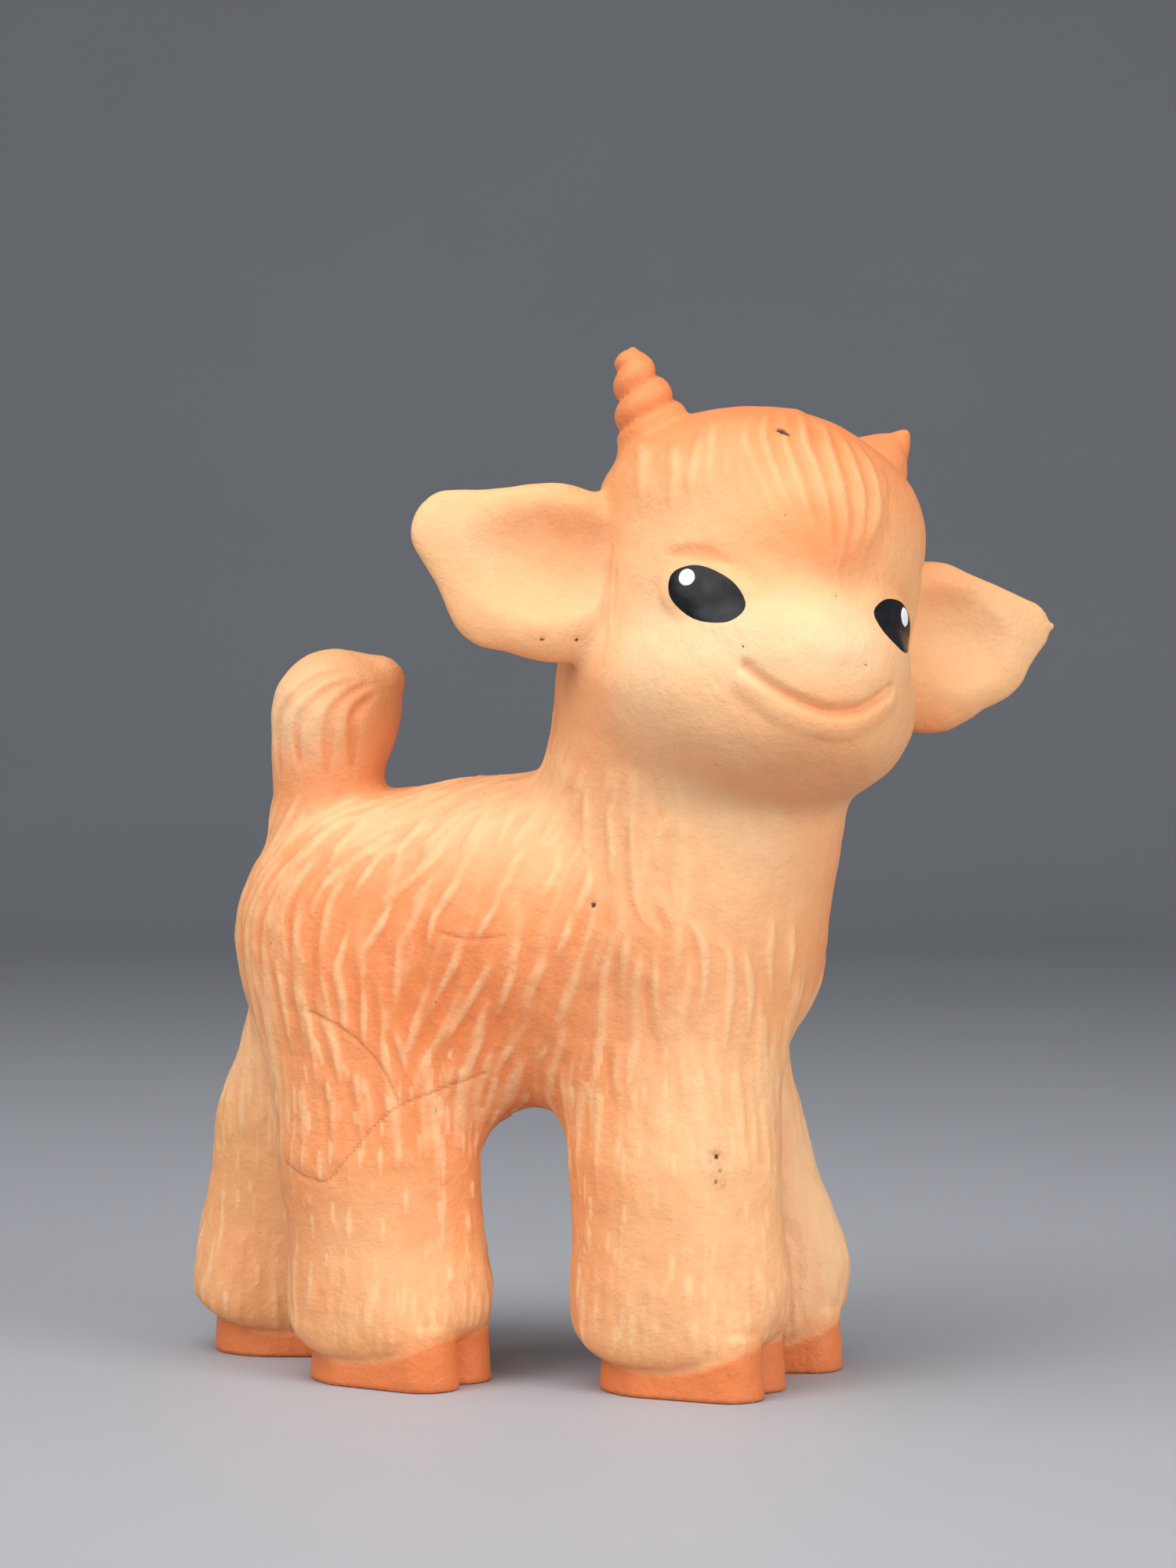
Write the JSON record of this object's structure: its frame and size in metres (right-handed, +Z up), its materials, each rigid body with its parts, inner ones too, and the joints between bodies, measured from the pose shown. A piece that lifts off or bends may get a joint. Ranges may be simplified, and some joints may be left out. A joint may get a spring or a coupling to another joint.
{
  "type": "moulded rubber goat kid toy",
  "caption": "Hollow moulded rubber goat kid standing with its head turned, painted eyes, and a squeaker pressed into the belly.",
  "frame": {"origin": "on the standing surface, under the middle of the outline seen from above", "axes": "+X the way the body faces, +Y the kid's left side, +Z up"},
  "size_m": [0.1299, 0.0591, 0.1501],
  "materials": {
    "rubber_skin": "satin moulded rubber with sprayed darker orange shading",
    "black_paint": "brushed black enamel",
    "white_paint": "white enamel dot",
    "squeaker_plastic": "ivory polyethylene",
    "reed_brass": "thin rolled sheet"
  },
  "bodies": {
    "toy": {"skin_right_half": "rubber_skin", "skin_left_half": "rubber_skin", "eye_paint_right": "black_paint", "eye_paint_left": "black_paint", "eye_glint_right": "white_paint", "eye_glint_left": "white_paint", "squeaker_barrel": "squeaker_plastic", "squeaker_reed_plate": "reed_brass", "squeaker_cap": "squeaker_plastic"},
    "reed": {"squeaker_reed": "reed_brass"}
  },
  "joints": [
    {"name": "reed_flex", "type": "hinge", "parent": "toy", "child": "reed", "pos_m": [-0.0106, 0.00272, 0.04588], "axis": [0, 1, 0], "range_deg": [-7, 7], "stiffness_Nm_per_rad": 0.0002}
  ]
}
